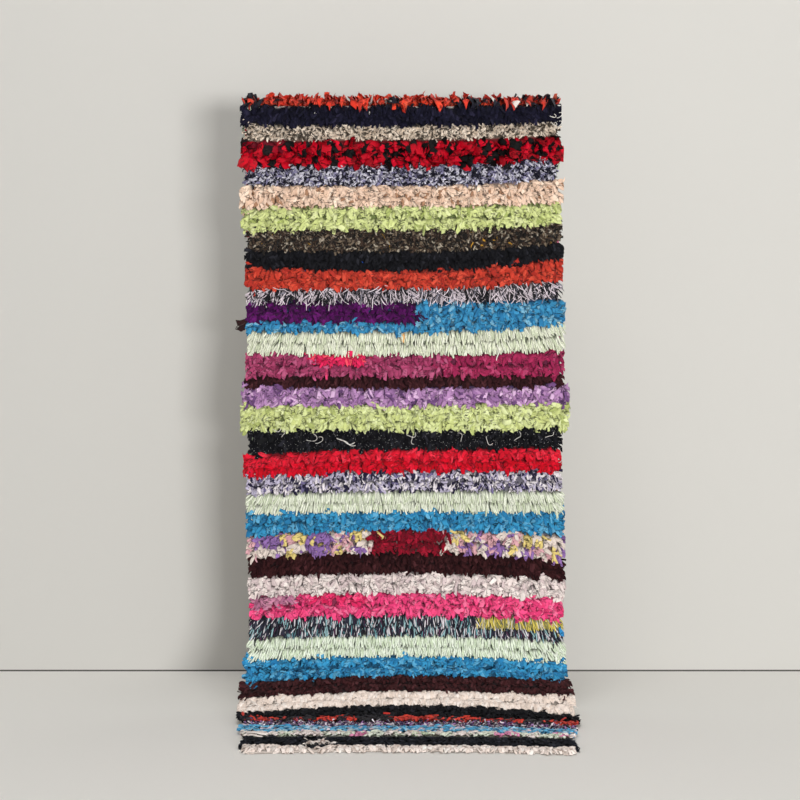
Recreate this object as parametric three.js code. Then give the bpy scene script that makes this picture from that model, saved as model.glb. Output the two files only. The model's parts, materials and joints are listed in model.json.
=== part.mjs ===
// Boucherouite rug: a thick rag-pile rug that hangs over a support by a short turned-back
// flap, drops straight down in front, and runs forward onto the floor at its lower end.
//
// Millimetres, +Z up. The origin is on the inside of the top fold, at the middle of the
// width: the line that the support carries. The pile faces -Y in front, +X is to the right.
// s is the length along the woven ground from the top of the fold, positive down the front
// and negative down the flap behind.
import * as THREE from 'three';

// ---- Driving dimensions -------------------------------------------------------------

const FLOOR_DROP = 1735; // from the inside of the fold down to the floor
const FOLD_RADIUS = 20; // inside of the fold, so the two layers hang 40 mm apart
const GROUND = 5; // woven ground, warps and wefts
const PILE_RIDGE = 21; // pile over the middle of a row of tufts
const PILE_SEAM = 8; // pile left in the seam between two stripes
const PILE_PART = 14; // pile in the parting between the two rows of a stripe
const FOLD_SEAM = 3; // the rows fan apart over the fold, down to the ground
const LUMP = 3; // how far the pile rises and sinks at random
const SIDE_ROUNDING = 0.55; // share of the pile's height that is left at the side edge
const LOCK = 13; // usual length of the locks at the rim
const LOCK_VARIES = 6; // and how much longer or shorter they are
const LOCK_ROOT = 6; // width of the strip that holds the roots of the locks
const LOCK_PARTING = 3; // half the space between the roots of two locks
const LOCK_DRIFT = 3; // how far a tip stands to one side
const LOCK_DROOP = 5; // how far a tip hangs down where the cloth is upright
const ROOT_HEIGHT = 0.8; // height of a lock's root, as a share of the body's edge
const TIP_HEIGHT = 0.45; // height of its tip
const TIP_SHARES = [0.36, 0.64]; // where its tip starts and ends along its root
const CLEARANCE = 0.3; // between the rug's body and the strips at its rim
const NARROWEST_PAIR = 30; // stripes narrower than this have one row of tufts, not two
const FOLD_STEP = 8; // longest step along the fold, where the body turns tightly
const COLUMNS = 19; // lengthwise bands of the body
const SIDE_CROWDING = 1.25; // 1 spaces them evenly, more sets them closer at the sides
const WANDER = 2; // how far a seam strays up and down at random
const DROP_PARTS = 4; // the straight drop's side strips are made in this many lengths

// The lower end, as it leaves the vertical and comes to lie on the floor.
const BENDS = [
  { stretch: 'knee', run: 90, turn: -46 },
  { stretch: 'slope', run: 150, turn: -16 },
  { stretch: 'toe', run: 55, turn: -28 },
];

// Stripes down the front, from the fold. run is the stripe's length along the cloth at the
// middle of the width. leftSag and rightSag are how far its lower edge hangs below that at
// the sides, leftReach and rightReach how far its pile reaches from the middle of the width.
const FRONT_STRIPES = [
  { stripe: 'orange_crest', run: 20, leftSag: 0, rightSag: 0, leftReach: 474, rightReach: 454 },
  { stripe: 'navy', run: 54, leftSag: -6, rightSag: -18, leftReach: 474, rightReach: 456 },
  { stripe: 'oat', run: 34, leftSag: 6, rightSag: -12, leftReach: 474, rightReach: 460 },
  { stripe: 'red_black', run: 83, leftSag: -3, rightSag: -24, leftReach: 472, rightReach: 464 },
  { stripe: 'denim_fleck', run: 54, leftSag: 0, rightSag: -18, leftReach: 469, rightReach: 452 },
  { stripe: 'peach', run: 54, leftSag: 8, rightSag: -8, leftReach: 477, rightReach: 462 },
  { stripe: 'lime', run: 69, leftSag: 0, rightSag: -14, leftReach: 471, rightReach: 455 },
  { stripe: 'tweed', run: 66, leftSag: 0, rightSag: -17, leftReach: 463, rightReach: 462 },
  { stripe: 'black', run: 51, leftSag: -6, rightSag: -24, leftReach: 462, rightReach: 463 },
  { stripe: 'orange', run: 51, leftSag: 5, rightSag: -17, leftReach: 460, rightReach: 460 },
  { stripe: 'magpie', run: 40, leftSag: -3, rightSag: -6, leftReach: 456, rightReach: 458 },
  { stripe: 'purple_blue', run: 85, leftSag: 0, rightSag: -20, leftReach: 457, rightReach: 466 },
  { stripe: 'mint', run: 66, leftSag: -6, rightSag: -9, leftReach: 454, rightReach: 467 },
  { stripe: 'raspberry', run: 60, leftSag: 5, rightSag: 0, leftReach: 458, rightReach: 463 },
  { stripe: 'plum', run: 37, leftSag: -6, rightSag: -6, leftReach: 462, rightReach: 466 },
  { stripe: 'lavender', run: 43, leftSag: 11, rightSag: -3, leftReach: 469, rightReach: 476 },
  { stripe: 'lime_low', run: 74, leftSag: -3, rightSag: -11, leftReach: 473, rightReach: 478 },
  { stripe: 'black_fleck', run: 57, leftSag: 14, rightSag: -2, leftReach: 453, rightReach: 458 },
  { stripe: 'red', run: 63, leftSag: 11, rightSag: -5, leftReach: 465, rightReach: 455 },
  { stripe: 'grey_lilac', run: 60, leftSag: 11, rightSag: 3, leftReach: 458, rightReach: 459 },
  { stripe: 'mint_mid', run: 54, leftSag: 8, rightSag: 5, leftReach: 457, rightReach: 464 },
  { stripe: 'blue_mid', run: 52, leftSag: 22, rightSag: 22, leftReach: 457, rightReach: 463 },
  { stripe: 'pansy', run: 68, leftSag: 11, rightSag: 25, leftReach: 455, rightReach: 465 },
  { stripe: 'plum_mid', run: 60, leftSag: 11, rightSag: 20, leftReach: 451, rightReach: 468 },
  { stripe: 'blush', run: 52, leftSag: 14, rightSag: 20, leftReach: 451, rightReach: 466 },
  { stripe: 'pink', run: 68, leftSag: 8, rightSag: 14, leftReach: 447, rightReach: 461 },
  { stripe: 'jersey', run: 54, leftSag: 14, rightSag: 23, leftReach: 449, rightReach: 460 },
  { stripe: 'mint_low', run: 64, leftSag: 15, rightSag: 22, leftReach: 454, rightReach: 469 },
  { stripe: 'blue_low', run: 66, leftSag: 29, rightSag: 18, leftReach: 464, rightReach: 468 },
  { stripe: 'plum_low', run: 63, leftSag: 32, rightSag: 20, leftReach: 470, rightReach: 481 },
  { stripe: 'cream', run: 60, leftSag: 45, rightSag: 45, leftReach: 469, rightReach: 484 },
  { stripe: 'black_low', run: 78, leftSag: 12, rightSag: 52, leftReach: 466, rightReach: 486 },
  { stripe: 'orange_low', run: 58, leftSag: -20, rightSag: 11, leftReach: 456, rightReach: 476 },
  { stripe: 'fleck_low', run: 44, leftSag: -10, rightSag: 34, leftReach: 450, rightReach: 471 },
  { stripe: 'blue_end', run: 60, leftSag: 6, rightSag: 30, leftReach: 438, rightReach: 463 },
  { stripe: 'mint_end', run: 48, leftSag: 8, rightSag: 20, leftReach: 426, rightReach: 455 },
  { stripe: 'black_end', run: 60, leftSag: 0, rightSag: 4, leftReach: 414, rightReach: 448 },
  { stripe: 'cream_end', run: 27, leftSag: 0, rightSag: 0, leftReach: 408, rightReach: 444 },
];

// Stripes down the flap behind, from the fold. The first is the back row of the crest.
const FLAP_STRIPES = [
  { stripe: 'orange_back', run: 24, leftSag: 0, rightSag: 0, leftReach: 474, rightReach: 454 },
  { stripe: 'mint_back', run: 56, leftSag: 4, rightSag: -5, leftReach: 476, rightReach: 460 },
  { stripe: 'blue_back', run: 56, leftSag: -4, rightSag: 6, leftReach: 472, rightReach: 464 },
  { stripe: 'plum_back', run: 50, leftSag: 5, rightSag: 5, leftReach: 468, rightReach: 458 },
  { stripe: 'cream_back', run: 25, leftSag: 0, rightSag: 0, leftReach: 462, rightReach: 452 },
];

const COLOUR = { body: '#8a6f74', side: '#b98aa0', end: '#ded4c4' };

// ---- The line of the woven ground ---------------------------------------------------

const radians = THREE.MathUtils.degToRad;

// The far end of one stretch of the line, straight or an arc. Heading 0 runs forward along
// -Y, and heading 90 runs straight down.
function advance(start, run, turn) {
  const from = radians(start.heading);
  const to = radians(start.heading + turn);
  const radius = run / (to - from);
  const forward = turn === 0 ? Math.cos(from) * run : (Math.sin(to) - Math.sin(from)) * radius;
  const down = turn === 0 ? Math.sin(from) * run : (Math.cos(from) - Math.cos(to)) * radius;
  return {
    s: start.s + run,
    y: start.y - forward,
    z: start.z - down,
    heading: start.heading + turn,
  };
}

const FRONT_LENGTH = FRONT_STRIPES.reduce((total, row) => total + row.run, 0);

// The stretches down the front. The straight drop is as long as the height leaves it, and
// the stretch on the floor as long as the cloth does.
const TOP = { s: 0, y: 0, z: 0, heading: 0 };
const FOLD_RUN = (Math.PI / 2) * FOLD_RADIUS;
const FOLD_END = advance(TOP, FOLD_RUN, 90);
const bendsFrom = (start) => BENDS.reduce((at, bend) => advance(at, bend.run, bend.turn), start);
const BEND_DROP = FOLD_END.z - bendsFrom(FOLD_END).z;
const DROP_RUN = FLOOR_DROP - FOLD_RADIUS - BEND_DROP;
const DROP_END = advance(FOLD_END, DROP_RUN, 0);
const FLOOR_START = { ...bendsFrom(DROP_END), z: -FLOOR_DROP, heading: 0 };
const STRETCHES = [
  { stretch: 'fold', start: TOP, run: FOLD_RUN, turn: 90 },
  { stretch: 'drop', start: FOLD_END, run: DROP_RUN, turn: 0 },
];
for (const bend of BENDS) {
  const last = STRETCHES.at(-1);
  STRETCHES.push({ ...bend, start: advance(last.start, last.run, last.turn) });
}
const FLOOR_RUN = FRONT_LENGTH - FLOOR_START.s;
STRETCHES.push({ stretch: 'floor', start: FLOOR_START, run: FLOOR_RUN, turn: 0 });
const stretchAt = (length) => STRETCHES.findLast((one) => one.start.s <= length);

// The point at height h over the ground at length s, x from the middle of the width. The
// flap mirrors the front, where it only needs the fold and the drop.
function onCloth(x, s, h) {
  const length = Math.abs(s);
  const { start, run, turn } = stretchAt(length);
  const covered = length - start.s;
  const at = advance(start, covered, turn * (covered / run));
  const heading = radians(at.heading);
  const y = at.y - Math.sin(heading) * h;
  const z = at.z + Math.cos(heading) * h;
  return new THREE.Vector3(x, s < 0 ? -y : y, z);
}

// ---- Rows of tufts ------------------------------------------------------------------

// Same scatter each time: a number from -1 to 1 for a pair of whole numbers.
function scatter(i, j) {
  const value = Math.sin(i * 127.1 + j * 311.7) * 43758.5453;
  return 2 * (value - Math.floor(value)) - 1;
}

// Each stripe is one or two rows of tufts. A row runs from its upper seam to its lower one
// with its ridge half way, and carries the sag of both seams and the reach of its pile.
function rowsOf(stripes) {
  const rows = [];
  let s = 0;
  let above = { leftSag: 0, rightSag: 0 };
  for (const stripe of stripes) {
    const count = stripe.run < NARROWEST_PAIR ? 1 : 2;
    const seamAt = (share) => ({
      s: s + stripe.run * share,
      left: THREE.MathUtils.lerp(above.leftSag, stripe.leftSag, share),
      right: THREE.MathUtils.lerp(above.rightSag, stripe.rightSag, share),
    });
    for (let k = 0; k < count; k += 1) {
      rows.push({
        from: seamAt(k / count),
        to: seamAt((k + 1) / count),
        seam: k === 0 ? PILE_SEAM : PILE_PART,
        left: LOCK + LOCK_ROOT - stripe.leftReach,
        right: stripe.rightReach - LOCK - LOCK_ROOT,
      });
    }
    s += stripe.run;
    above = stripe;
  }
  return rows;
}

const turned = (seam) => ({ s: -seam.s, left: -seam.left, right: -seam.right });
const turnedRow = (row) => ({ ...row, from: turned(row.to), to: turned(row.from) });
const ROWS = [...rowsOf(FLAP_STRIPES).map(turnedRow).reverse(), ...rowsOf(FRONT_STRIPES)];

// Lines across the body: the seam above each row, then its ridge, with more on the fold.
function linesOf(row, index) {
  const before = ROWS[Math.max(index - 1, 0)];
  const nearFold = Math.min(Math.abs(row.from.s), Math.abs(row.to.s)) < FOLD_RUN;
  const seam = nearFold ? FOLD_SEAM : row.seam;
  const half = nearFold ? Math.ceil((row.to.s - row.from.s) / 2 / FOLD_STEP) : 1;
  const lines = [];
  for (let step = 0; step < 2 * half; step += 1) {
    const share = step / (2 * half);
    lines.push({
      row: index,
      s: THREE.MathUtils.lerp(row.from.s, row.to.s, share),
      leftSag: THREE.MathUtils.lerp(row.from.left, row.to.left, share),
      rightSag: THREE.MathUtils.lerp(row.from.right, row.to.right, share),
      pile: seam + (PILE_RIDGE - seam) * Math.sin(Math.PI * share),
      left: step === 0 ? (before.left + row.left) / 2 : row.left,
      right: step === 0 ? (before.right + row.right) / 2 : row.right,
    });
  }
  return lines;
}

const LINES = ROWS.flatMap(linesOf);
LINES.push({ ...LINES.at(-1), row: ROWS.length, s: FRONT_LENGTH, pile: PILE_PART });

// Places across the width, from -1 at the left side to 1 at the right, closer at the sides.
const PLACES_ACROSS = [];
for (let column = 0; column <= COLUMNS; column += 1) {
  const even = (2 * column) / COLUMNS - 1;
  PLACES_ACROSS.push(Math.sign(even) * (1 - (1 - Math.abs(even)) ** SIDE_CROWDING));
}

// The points of one line: the top of the pile and the foot of the ground under it.
function pointsOn(line, index) {
  const isEnd = index === 0 || index === LINES.length - 1;
  return PLACES_ACROSS.map((u, column) => {
    const share = column === 0 || column === COLUMNS ? SIDE_ROUNDING : 1;
    const sag = (u < 0 ? line.leftSag : line.rightSag) * u * u;
    const wander = isEnd || Math.abs(line.s) < FOLD_RUN ? 0 : WANDER * scatter(line.row, column);
    const height = GROUND + (line.pile + LUMP * scatter(index, column)) * share;
    const x = THREE.MathUtils.lerp(line.left, line.right, (u + 1) / 2);
    const s = isEnd ? line.s : line.s + sag + wander;
    return { top: onCloth(x, s, height), foot: onCloth(x, s, 0), height };
  });
}

const GRID = LINES.map(pointsOn);

// ---- Bodies -------------------------------------------------------------------------

// A body is listed as triangles, each anticlockwise from outside.
function bodyOf(name, colour, triangles) {
  const geometry = new THREE.BufferGeometry().setFromPoints(triangles.flat());
  geometry.computeVertexNormals();
  const material = new THREE.MeshStandardMaterial({ color: colour, roughness: 0.95, metalness: 0 });
  const mesh = new THREE.Mesh(geometry, material);
  mesh.name = name;
  return mesh;
}

const quad = (a, b, c, d) => [[a, b, c], [a, c, d]];
const insideOut = (triangles) => triangles.map(([a, b, c]) => [a, c, b]);

// The cut end of the body, filled in from the points of its last line.
function endFace(points) {
  const [first, last] = [points[0], points.at(-1)];
  const rim = [...points.map((point) => point.top), last.foot, first.foot];
  const outline = points.map((point) => new THREE.Vector2(point.top.x, point.height));
  outline.push(new THREE.Vector2(last.foot.x, 0), new THREE.Vector2(first.foot.x, 0));
  return THREE.ShapeUtils.triangulateShape(outline, [])
    .map((corners) => corners.map((corner) => rim[corner]));
}

// The woven ground with its pile, as one lumpy body. Its back is ruled straight across.
function rugBody() {
  const triangles = [];
  for (let index = 0; index < GRID.length - 1; index += 1) {
    const [upper, lower] = [GRID[index], GRID[index + 1]];
    for (let k = 0; k < COLUMNS; k += 1) {
      triangles.push(...quad(upper[k].top, lower[k].top, lower[k + 1].top, upper[k + 1].top));
    }
    const [left, right] = [0, COLUMNS];
    triangles.push(...quad(upper[right].foot, lower[right].foot, lower[left].foot, upper[left].foot));
    triangles.push(...quad(upper[left].foot, lower[left].foot, lower[left].top, upper[left].top));
    triangles.push(...quad(upper[right].foot, upper[right].top, lower[right].top, lower[right].foot));
  }
  triangles.push(...insideOut(endFace(GRID[0])));
  triangles.push(...endFace(GRID.at(-1)));
  return bodyOf('rug', COLOUR.body, triangles);
}

// ---- Locks at the rim ---------------------------------------------------------------

// Joins two runs of points by a band of triangles, near on the left and far on the right
// as both run downward.
function band(near, far) {
  const triangles = [];
  let i = 0;
  let j = 0;
  while (i < near.length - 1 || j < far.length - 1) {
    const nearShare = (i + 0.5) / (near.length - 1);
    const farShare = (j + 0.5) / (far.length - 1);
    if (j === far.length - 1 || (i < near.length - 1 && nearShare <= farShare)) {
      triangles.push([near[i], near[i + 1], far[j]]);
      i += 1;
    } else {
      triangles.push([near[i], far[j + 1], far[j]]);
      j += 1;
    }
  }
  return triangles;
}

// The top and foot of the body's edge at a share of the way along a run of its points.
function edgeAt(run, share) {
  const place = share * (run.length - 1);
  const index = Math.min(Math.floor(place), run.length - 2);
  const part = place - index;
  return {
    top: run[index].top.clone().lerp(run[index + 1].top, part),
    foot: run[index].foot.clone().lerp(run[index + 1].foot, part),
  };
}

// The edge moved outward, with its top brought down to a share of its height.
function outward(edge, out, distance, share) {
  return {
    top: edge.foot.clone().lerp(edge.top, share).addScaledVector(out, distance),
    foot: edge.foot.clone().addScaledVector(out, distance),
  };
}

// One lock with the stretch of strip that holds its root, as an open band along run.
function lockOf(run, out, length, drift) {
  const along = edgeAt(run, 1).foot.sub(edgeAt(run, 0).foot);
  const parting = LOCK_PARTING / along.length();
  const rootAt = (share) => outward(edgeAt(run, share), out, LOCK_ROOT, ROOT_HEIGHT);
  const [start, from, to, end] = [0, parting, 1 - parting, 1].map(rootAt);
  const shift = along.clone().normalize().multiplyScalar(drift);
  shift.z -= LOCK_DROOP * (along.z / along.length()) ** 2;
  const [tipFrom, tipTo] = TIP_SHARES.map((share) => {
    const tip = outward(edgeAt(run, share), out, LOCK_ROOT + length, TIP_HEIGHT);
    return { top: tip.top.add(shift), foot: tip.foot.add(shift) };
  });
  const root = [start, from, to, end];
  const [tops, feet] = [run.map((edge) => edge.top), run.map((edge) => edge.foot)];
  return [
    ...band(root.map((edge) => edge.top), tops),
    ...band(feet, root.map((edge) => edge.foot)),
    ...band(tops, feet),
    ...quad(start.top, start.foot, from.foot, from.top),
    ...quad(to.top, to.foot, end.foot, end.top),
    ...quad(from.top, from.foot, tipFrom.foot, tipFrom.top),
    ...quad(from.foot, to.foot, tipTo.foot, tipFrom.foot),
    ...quad(to.foot, to.top, tipTo.top, tipTo.foot),
    ...quad(to.top, from.top, tipFrom.top, tipTo.top),
    ...quad(tipFrom.top, tipFrom.foot, tipTo.foot, tipTo.top),
  ];
}

// A strip of locks along runs of edge points, one lock to a run, cut square at both ends.
function stripOf(name, colour, edgeRuns, out, seed) {
  const runs = edgeRuns.map((run) => run.map((edge) => outward(edge, out, CLEARANCE, 1)));
  const trimmed = (a, b) => edgeAt([a, b], CLEARANCE / a.foot.distanceTo(b.foot));
  const [first, last] = [runs[0], runs.at(-1)];
  first[0] = trimmed(first[0], first[1]);
  last[last.length - 1] = trimmed(last.at(-1), last.at(-2));
  const triangles = runs.flatMap((run, index) => lockOf(
    run,
    out,
    LOCK + LOCK_VARIES * scatter(index, seed),
    LOCK_DRIFT * scatter(seed, index),
  ));
  const capOf = (edge) => {
    const root = outward(edge, out, LOCK_ROOT, ROOT_HEIGHT);
    return quad(edge.top, edge.foot, root.foot, root.top);
  };
  triangles.push(...capOf(first[0]), ...insideOut(capOf(last.at(-1))));
  const along = first[1].foot.clone().sub(first[0].foot);
  const upright = first[0].top.clone().sub(first[0].foot);
  const reversed = along.cross(out).dot(upright) > 0;
  return bodyOf(name, colour, reversed ? insideOut(triangles) : triangles);
}

// Which strip of a side holds the locks of a row of tufts.
function placeOf(row) {
  if (Math.min(Math.abs(row.from.s), Math.abs(row.to.s)) < FOLD_RUN) return 'fold';
  const middle = (row.from.s + row.to.s) / 2;
  const { stretch, start, run } = stretchAt(Math.abs(middle));
  if (stretch !== 'drop') return stretch;
  return middle < 0 ? 'flap' : `drop_${Math.ceil(((middle - start.s) / run) * DROP_PARTS)}`;
}

const PLACES = [...new Set(ROWS.map(placeOf))];

// The strip along one side of the body, over the rows of one place.
function sideStrip(side, place) {
  const column = side === 'left' ? 0 : COLUMNS;
  const out = new THREE.Vector3(side === 'left' ? -1 : 1, 0, 0);
  const runs = [];
  ROWS.forEach((row, index) => {
    if (placeOf(row) !== place) return;
    const from = LINES.findIndex((line) => line.row === index);
    const to = LINES.findIndex((line) => line.row === index + 1);
    runs.push(GRID.slice(from, to + 1).map((points) => points[column]));
  });
  const seed = PLACES.indexOf(place) + (side === 'left' ? 0 : PLACES.length);
  return stripOf(`${side}_locks_${place}`, COLOUR.side, runs, out, seed);
}

// The strip along one cut end, with two locks to each column of the body.
function endStrip(name, points, out, seed) {
  const runs = [];
  for (let column = 0; column < COLUMNS; column += 1) {
    const [a, b] = [points[column], points[column + 1]];
    const middle = edgeAt([a, b], 0.5);
    runs.push([a, middle], [middle, b]);
  }
  return stripOf(name, COLOUR.end, runs, out, seed);
}

// ---- The rug ------------------------------------------------------------------------

const boucherouite = new THREE.Group();
boucherouite.add(rugBody());
for (const side of ['left', 'right']) {
  for (const place of PLACES) boucherouite.add(sideStrip(side, place));
}
boucherouite.add(endStrip('floor_end_locks', GRID.at(-1), new THREE.Vector3(0, -1, 0), 41));
boucherouite.add(endStrip('flap_end_locks', GRID[0], new THREE.Vector3(0, 0, -1), 42));

export default boucherouite;
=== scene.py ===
# Boucherouite rug: a thick rag-pile rug that hangs over a support by a short flap behind,
# drops straight down in front and runs forward onto the floor at its lower end.
#
# The scene is in metres, in the part's own frame: the origin is on the inside of the fold,
# the pile faces -Y and +X is to the right. Lengths on the cloth are in millimetres: x from
# the middle of the width, s along the ground from the fold, and h above the ground's back.

import json
import math
from types import SimpleNamespace

import bpy
import numpy as np
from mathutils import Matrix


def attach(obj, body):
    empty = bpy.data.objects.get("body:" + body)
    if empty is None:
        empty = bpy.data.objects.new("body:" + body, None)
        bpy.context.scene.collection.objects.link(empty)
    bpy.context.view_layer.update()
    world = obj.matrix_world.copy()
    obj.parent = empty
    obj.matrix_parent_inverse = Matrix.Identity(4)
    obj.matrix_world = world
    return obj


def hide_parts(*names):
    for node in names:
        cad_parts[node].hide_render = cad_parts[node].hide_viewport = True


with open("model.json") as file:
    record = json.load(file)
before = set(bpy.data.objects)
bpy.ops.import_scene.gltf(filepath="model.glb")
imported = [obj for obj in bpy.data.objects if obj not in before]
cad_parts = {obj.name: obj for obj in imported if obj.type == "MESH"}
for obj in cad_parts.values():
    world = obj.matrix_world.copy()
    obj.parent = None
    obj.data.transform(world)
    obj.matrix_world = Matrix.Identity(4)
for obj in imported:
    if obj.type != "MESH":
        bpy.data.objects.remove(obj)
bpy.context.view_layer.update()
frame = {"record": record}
bpy.ops.object.select_all(action="DESELECT")
scene = bpy.context.scene

# ---- The woven ground ---------------------------------------------------------------
# Cotton warps and wool wefts in one cloth 5 mm thick, folded over the support. Every knot
# is tied on it, so its back shows the knots as coloured ribs between bands of pale weft.

FOLD_RADIUS = 20
GROUND = 5
# Run and turn of each arc of the knee, between the drop and the floor.
BENDS = ((90, -46), (150, -16), (55, -28))
ROW_PITCH = 28
# How far the rags reach past the ground at each side.
LOCK_REACH = 19
# Steps of the ground's mesh, down the cloth in millimetres and across it.
BACK_STEP = 7.0
BACK_COLUMNS = 92
# The knots of a row behind: where they stand in it, how broad and how proud they are, and
# how uneven the back is.
RIB_PLACE = 0.35
KNOT_RIB = 8
KNOT_RELIEF = 1.4
RIPPLE = 0.4
# How much of the rags' dye shows on a knot's rib and between the ribs, and how uneven it is.
DYE_ON_RIB = (0.3, 1)
DYE_BETWEEN = (0, 0.06)
DYE_UNEVEN = (0.9, 1.08)
# Half the width of the ground's flat map, in metres.
MAP_HALF_WIDTH = 0.455
# The face between the roots is dyed like the rags and darkened by painted shade, the
# shade of the gaps between them, with less of it on the floor. It is bare along the fold.
DROP_PAINTED_SHADE = 0.4
FLOOR_PAINTED_SHADE = 0.8
LESS_SHADE_FROM = 1750
BARE_FOLD = 15
BARE_DYE = (242, 238, 230)

# Down the front: stripe, run along the cloth, how far its lower edge sags at the left and
# at the right, how far its pile reaches from the middle to the left and to the right, and
# what shows of its knots behind as red, green and blue.
FRONT_STRIPES = (
    ("orange_crest", 20, 0, 0, 474, 454, (200, 66, 44)),
    ("navy", 54, -6, -18, 474, 456, (30, 32, 52)),
    ("oat", 38, 6, -12, 474, 460, (190, 178, 160)),
    ("red_black", 71, 3, -24, 472, 464, (150, 20, 34)),
    ("denim_fleck", 62, 0, -18, 469, 452, (140, 136, 172)),
    ("peach", 54, 8, -8, 477, 462, (226, 192, 166)),
    ("lime", 69, 0, -20, 471, 455, (178, 200, 118)),
    ("tweed", 66, -3, -26, 463, 462, (88, 74, 64)),
    ("black", 51, -6, -34, 462, 463, (30, 30, 34)),
    ("orange", 51, 5, -17, 460, 460, (198, 66, 44)),
    ("magpie", 40, -3, -6, 456, 458, (150, 144, 146)),
    ("purple_blue", 85, 0, -30, 457, 466, (70, 110, 170)),
    ("mint", 66, -6, -9, 454, 467, (206, 218, 190)),
    ("raspberry", 60, 5, 0, 458, 463, (168, 62, 108)),
    ("plum", 37, -6, -6, 462, 466, (60, 32, 38)),
    ("lavender", 43, 11, -3, 469, 476, (158, 126, 196)),
    ("lime_low", 74, -3, -11, 473, 478, (186, 202, 128)),
    ("black_fleck", 57, 26, -2, 453, 458, (40, 40, 44)),
    ("red", 63, 11, -5, 465, 455, (200, 26, 54)),
    ("grey_lilac", 60, 11, 3, 458, 459, (168, 162, 180)),
    ("mint_mid", 54, 8, 5, 457, 464, (206, 218, 190)),
    ("blue_mid", 52, 22, 22, 457, 463, (46, 138, 192)),
    ("pansy", 68, 11, 25, 455, 465, (204, 176, 172)),
    ("plum_mid", 60, 11, 20, 451, 468, (60, 32, 38)),
    ("blush", 52, 14, 20, 451, 466, (216, 200, 200)),
    ("pink", 68, 6, 14, 447, 461, (220, 84, 134)),
    ("jersey", 54, 14, 23, 449, 460, (80, 80, 98)),
    ("mint_low", 64, 15, 22, 454, 469, (206, 218, 190)),
    ("blue_low", 66, 29, 18, 464, 468, (46, 138, 192)),
    ("plum_low", 55, 30, 20, 470, 481, (60, 32, 38)),
    ("cream", 54, 34, 45, 469, 484, (222, 208, 194)),
    ("black_low", 50, 12, 54, 466, 486, (34, 34, 38)),
    ("orange_low", 34, -20, 11, 456, 476, (194, 58, 42)),
    ("fleck_low", 46, -10, 42, 450, 471, (96, 86, 110)),
    ("blue_end", 52, 6, 34, 450, 463, (56, 144, 198)),
    ("mint_end", 40, 8, 28, 440, 455, (212, 214, 196)),
    ("black_end", 112, 2, 26, 428, 448, (38, 40, 46)),
    ("cream_end", 27, 24, 28, 418, 437, (222, 208, 198)),
)

# The same columns, down the flap behind.
FLAP_STRIPES = (
    ("orange_back", 24, 0, 0, 474, 452, (200, 66, 44)),
    ("mint_back", 56, 4, -5, 476, 450, (206, 218, 190)),
    ("blue_back", 56, -4, 6, 466, 450, (46, 138, 192)),
    ("plum_back", 50, 5, 5, 464, 450, (60, 32, 38)),
    ("cream_back", 25, 0, 0, 460, 446, (222, 208, 198)),
)

WEFT_DYES = ((206, 196, 178), (186, 174, 156), (150, 142, 134), (214, 206, 192))

floor_face = next(m for m in frame["record"]["mounts"] if m["name"] == "floor_face")
FLOOR_DROP = -1000 * floor_face["pos_m"][2]


def advance(start, run, curve):
    """The far ends of straights and arcs, as s, y, z and heading, from their starts. Heading 0
    runs forward and a quarter turn runs down. curve is the turn to the millimetre."""
    s, y, z, heading = np.moveaxis(np.asarray(start, dtype=float), -1, 0)
    end = heading + curve * run
    bent = np.not_equal(curve, 0)
    radius = 1 / np.where(bent, curve, 1)
    straight = (np.cos(heading) * run, np.sin(heading) * run)
    forward = np.where(bent, (np.sin(end) - np.sin(heading)) * radius, straight[0])
    down = np.where(bent, (np.cos(heading) - np.cos(end)) * radius, straight[1])
    return np.stack([s + run, y - forward, z - down, end], axis=-1)


def stretches_of_cloth():
    """The starts and the curves of the stretches down the front: fold, drop, knee, floor."""
    fold = (math.pi / 2 * FOLD_RADIUS, 1 / FOLD_RADIUS)
    bends = [(run, math.radians(turn) / run) for run, turn in BENDS]
    fold_end = advance((0, 0, 0, 0), *fold)
    end = fold_end
    for bend in bends:
        end = advance(end, *bend)
    drop = (FLOOR_DROP - FOLD_RADIUS - (fold_end[2] - end[2]), 0)
    starts = [np.zeros(4)]
    for stretch in (fold, drop, *bends):
        starts.append(advance(starts[-1], *stretch))
    # The last stretch lies level on the floor.
    starts[-1][2:] = (-FLOOR_DROP, 0)
    return np.array(starts), np.array([fold[1], 0, *(curve for run, curve in bends), 0])


STRETCH_STARTS, STRETCH_CURVES = stretches_of_cloth()


def on_cloth(x, s, h):
    """Points of the scene at x, s and h on the cloth. The flap mirrors the front."""
    length = np.abs(s)
    index = np.searchsorted(STRETCH_STARTS[:, 0], length, side="right") - 1
    start = STRETCH_STARTS[index]
    ends = advance(start, length - start[..., 0], STRETCH_CURVES[index])
    y = ends[..., 1] - np.sin(ends[..., 3]) * h
    z = ends[..., 2] + np.cos(ends[..., 3]) * h
    return np.stack([x, np.where(s < 0, -y, y), z], axis=-1) / 1000


def linear(colour):
    """Display red, green and blue from 0 to 255 as the light they stand for."""
    share = np.asarray(colour, dtype=float) / 255
    return np.where(share <= 0.04045, share / 12.92, ((share + 0.055) / 1.055) ** 2.4)


def rows_of(stripes, way):
    """The rows of knots in each stripe, by its name. way is 1 in front and -1 behind."""
    rows = {}
    s = 0
    above = (0, 0)
    for stripe, run, left_sag, right_sag, left_reach, right_reach, back_dye in stripes:
        count = max(1, round(run / ROW_PITCH))
        sags = np.linspace(above, (left_sag, right_sag), count + 1)
        rows[stripe] = [
            SimpleNamespace(
                stripe=stripe,
                back_dye=linear(back_dye),
                place=k,
                way=way,
                top=s + run * k / count,
                bottom=s + run * (k + 1) / count,
                top_sag=sags[k],
                bottom_sag=sags[k + 1],
                left=LOCK_REACH - left_reach,
                right=right_reach - LOCK_REACH,
            )
            for k in range(count)
        ]
        s += run
        above = (left_sag, right_sag)
    return rows


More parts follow.
